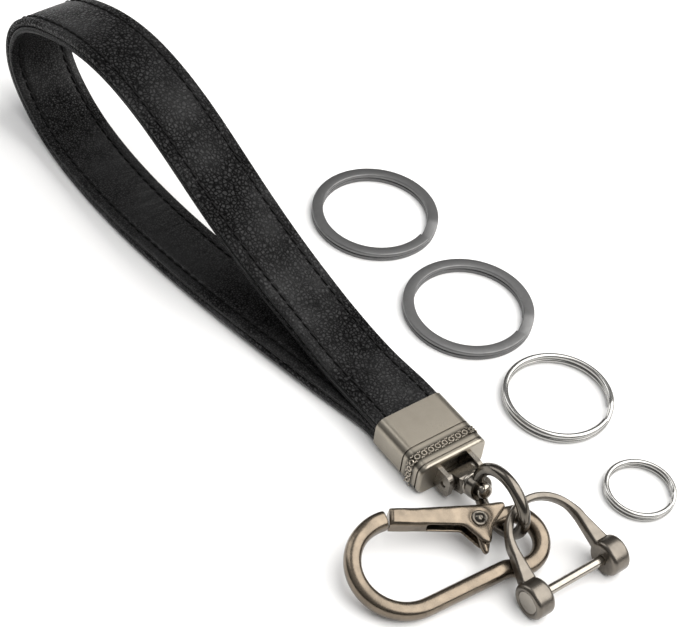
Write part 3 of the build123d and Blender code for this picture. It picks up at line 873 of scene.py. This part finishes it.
def softened(node, voxel, rounds, name, share, swell):
    """Copy of a node with eased edges, as a casting, then swollen a little."""
    mesh = frame["nodes"][node].data.copy()
    work = bmesh.new()
    work.from_mesh(mesh)
    bmesh.ops.remove_doubles(work, verts=work.verts, dist=2e-6)
    work.to_mesh(mesh)
    work.free()
    rough = bpy.data.objects.new(name + "_rough", mesh)
    bpy.context.scene.collection.objects.link(rough)
    remesh = rough.modifiers.new("even", "REMESH")
    remesh.mode = "VOXEL"
    remesh.voxel_size = voxel * MM
    seen = rough.evaluated_get(bpy.context.evaluated_depsgraph_get())
    made = bpy.data.meshes.new_from_object(seen)
    made.name = name
    bpy.data.objects.remove(rough)
    eased(made, rounds, share)
    moves = [v.co + v.normal * (swell(v.co / MM) * MM) for v in made.vertices]
    for vertex, place in zip(made.vertices, moves):
        vertex.co = place
    obj = bpy.data.objects.new(name, made)
    bpy.context.scene.collection.objects.link(obj)
    made.shade_smooth()
    stand_for(obj, node)
    return obj


def castings():
    """Hook, gate and shackle as castings.

    Nose and gate stay crisp where they meet. The shackle is as in the frame where it hangs
    in the hoop and fuller towards its lugs.
    """
    press = JOINT["gate_press"]
    pivot, up = Vector(press["pos_m"]) / MM, Vector(press["axis"]).normalized()
    corners = [v.co / MM for v in frame["nodes"]["carabiner_gate"].data.vertices]
    tip = max(corners, key=lambda p: (p - pivot).length)
    swing = JOINT["shackle_swing"]
    hung, across = Vector(swing["pos_m"]) / MM, Vector(swing["axis"]).normalized()

    def away_from_nose(point):
        return 0.08 + 0.92 * between((point - tip).length, NOSE_CRISP, NOSE_ROUND)

    def upper_gate(point):
        return away_from_nose(point) * (0.12 + 0.88 * between((point - pivot).dot(up), -0.5, 0.8))

    def gate_swell(point):
        return GATE_SWELL + GATE_TIP_SWELL * (1 - away_from_nose(point))

    def shackle_swell(point):
        return SHACKLE_SWELL * between((point - hung).cross(across).length, HOOP_REACH, LUG_REACH)

    softened("carabiner_frame", 0.2, 100, "hook_frame", away_from_nose, lambda p: HOOK_SWELL)
    softened("carabiner_gate", 0.16, 90, "hook_gate", upper_gate, gate_swell)
    softened("shackle_bow", 0.16, 9, "shackle_casting", lambda p: 1.0, shackle_swell)


def rivet():
    """Domed rivet heads on both faces of the gate, each in a ring."""
    joint = JOINT["gate_press"]
    axis = Vector(joint["axis"]).normalized()
    origin = Vector(joint["pos_m"]) / MM
    half = RIVET_REACH
    head = [
        (0.0, half + 0.42),
        (0.5, half + 0.37),
        (0.85, half + 0.2),
        (1.0, half - 0.02),
        (1.12, half - 0.1),
        (1.3, half + 0.05),
        (1.6, half + 0.1),
        (1.85, half - 0.02),
        (1.9, half - 0.3),
        (1.0, half - 0.35),
    ]
    profile = head + [(r, -h) for r, h in reversed(head)]
    points, faces = lathe(profile, origin, axis)
    stand_for(piece("rivet_heads", points, faces, crease=50.0), "gate_rivet")


def spring():
    """Helical spring on the plunger's stem."""
    co = np.array([v.co for v in frame["nodes"]["gate_spring"].data.vertices]) / MM
    middle = co.mean(0)
    spread, axes = np.linalg.eigh(np.cov((co - middle).T))
    axis = Vector(axes[:, int(np.argmax(spread))])
    side = axis.orthogonal().normalized()
    other = axis.cross(side)
    run = SPRING_LENGTH - 2 * SPRING_WIRE_RADIUS
    steps = SPRING_TURNS * 16
    places = []
    for step in range(steps + 1):
        turn = 2 * math.pi * step / 16
        out = side * math.cos(turn) + other * math.sin(turn)
        point = Vector(middle) + axis * (step / steps - 0.5) * run + out * SPRING_RADIUS
        places.append((point, out, axis))
    thirds = [math.pi * i / 3 for i in range(6)]
    section = [(SPRING_WIRE_RADIUS * math.cos(t), SPRING_WIRE_RADIUS * math.sin(t)) for t in thirds]
    points, faces = sweep(places, section)
    stand_for(piece("spring_coils", points, faces), "gate_spring")


# ---- split rings ----
def split_ring(node):
    """One wire wound twice, stepping from the lower coil to the upper one."""
    diameter, width, height, kind = RINGS[node]
    low, high = (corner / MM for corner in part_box(node))
    centre = Vector(((low.x + high.x) / 2, (low.y + high.y) / 2, 0))
    radius = diameter / 2 - width / 2
    lift = height + RING_GAP
    turns = 720.0 - RING_RAMP_ANGLE - 2 * RING_END_GAP
    ramp_at = turns - 360.0 + RING_END_GAP
    places = []
    count = 300
    for i in range(count + 1):
        angle = turns * i / count
        rise = between(angle, ramp_at, ramp_at + RING_RAMP_ANGLE)
        turn = math.radians(RING_RAMP_AT - ramp_at + angle)
        out = Vector((math.cos(turn), math.sin(turn), 0))
        point = centre + out * radius + Vector((0, 0, height / 2 + lift * rise))
        places.append((point, out, Vector((0, 0, 1))))
    edge = height * (0.28 if kind == "flat" else 0.46)
    section = rounded(width, height, edge, 5)
    points, faces = sweep(places, section)
    stand_for(piece(node + "_wire", points, faces, crease=50.0), node)


# ---- table, light and camera ----
def table():
    """White top under the object."""
    work = bmesh.new()
    bmesh.ops.create_grid(work, x_segments=2, y_segments=2, size=3.0)
    mesh = bpy.data.meshes.new("table")
    work.to_mesh(mesh)
    work.free()
    obj = bpy.data.objects.new("table", mesh)
    bpy.context.scene.collection.objects.link(obj)
    dress(obj, floor_finish())


def lamp(name, place, target, size, power, tint=(1, 1, 1)):
    light = bpy.data.lights.new(name, "AREA")
    light.shape = "RECTANGLE"
    light.size, light.size_y = size
    light.energy = power
    light.color = tint
    obj = bpy.data.objects.new(name, light)
    obj.location = place
    obj.rotation_euler = (Vector(target) - Vector(place)).to_track_quat("-Z", "Y").to_euler()
    bpy.context.scene.collection.objects.link(obj)


def studio():
    """Large soft box from the upper right, weak strip from the left, pale surroundings."""
    middle = (-0.05, 0.0, 0.0)
    lamp("soft_box", (0.35, 0.5, 0.9), middle, (1.7, 1.5), 27.0, (1.0, 0.985, 0.965))
    lamp("left_strip", (-0.8, -0.3, 0.55), middle, (0.4, 1.0), 3.0)
    world = bpy.data.worlds.new("studio")
    world.use_nodes = True
    nodes, links = world.node_tree.nodes, world.node_tree.links
    back = nodes["Background"]
    coord = nodes.new("ShaderNodeTexCoord")
    split = nodes.new("ShaderNodeSeparateXYZ")
    ramp = nodes.new("ShaderNodeValToRGB")
    ramp.color_ramp.elements[0].position = 0.1
    ramp.color_ramp.elements[0].color = (0.12, 0.12, 0.12, 1)
    ramp.color_ramp.elements[1].position = 0.9
    ramp.color_ramp.elements[1].color = (0.75, 0.75, 0.75, 1)
    links.new(coord.outputs["Generated"], split.inputs[0])
    links.new(split.outputs["Z"], ramp.inputs[0])
    links.new(ramp.outputs[0], back.inputs["Color"])
    back.inputs["Strength"].default_value = 0.6
    bpy.context.scene.world = world
    bpy.context.scene.view_settings.view_transform = "Standard"


def camera():
    """Long lens from above the free end."""
    data = bpy.data.cameras.new("camera")
    data.lens = 96.0
    data.sensor_width = 36.0
    data.clip_start = 0.01
    obj = bpy.data.objects.new("camera", data)
    forward = Vector((-0.5204, 0.4686, -0.7138)).normalized()
    right = Vector((0.5833, 0.8057, 0.1036)).normalized()
    up = right.cross(forward)
    turned = Matrix((right, up, -forward)).transposed().to_4x4()
    obj.matrix_world = Matrix.Translation(Vector((196.6, -211.9, 337.4)) * MM) @ turned
    bpy.context.scene.collection.objects.link(obj)
    bpy.context.scene.camera = obj


strap()
cap_pattern()
castings()
rivet()
spring()
for ring in RINGS:
    split_ring(ring)
for node, obj in frame["nodes"].items():
    if not obj.hide_render:
        dress(obj, SLOT_FINISH[NODE_SLOT[node]])
dress(frame["nodes"]["end_cap"], cap_finish())
table()
studio()
camera()
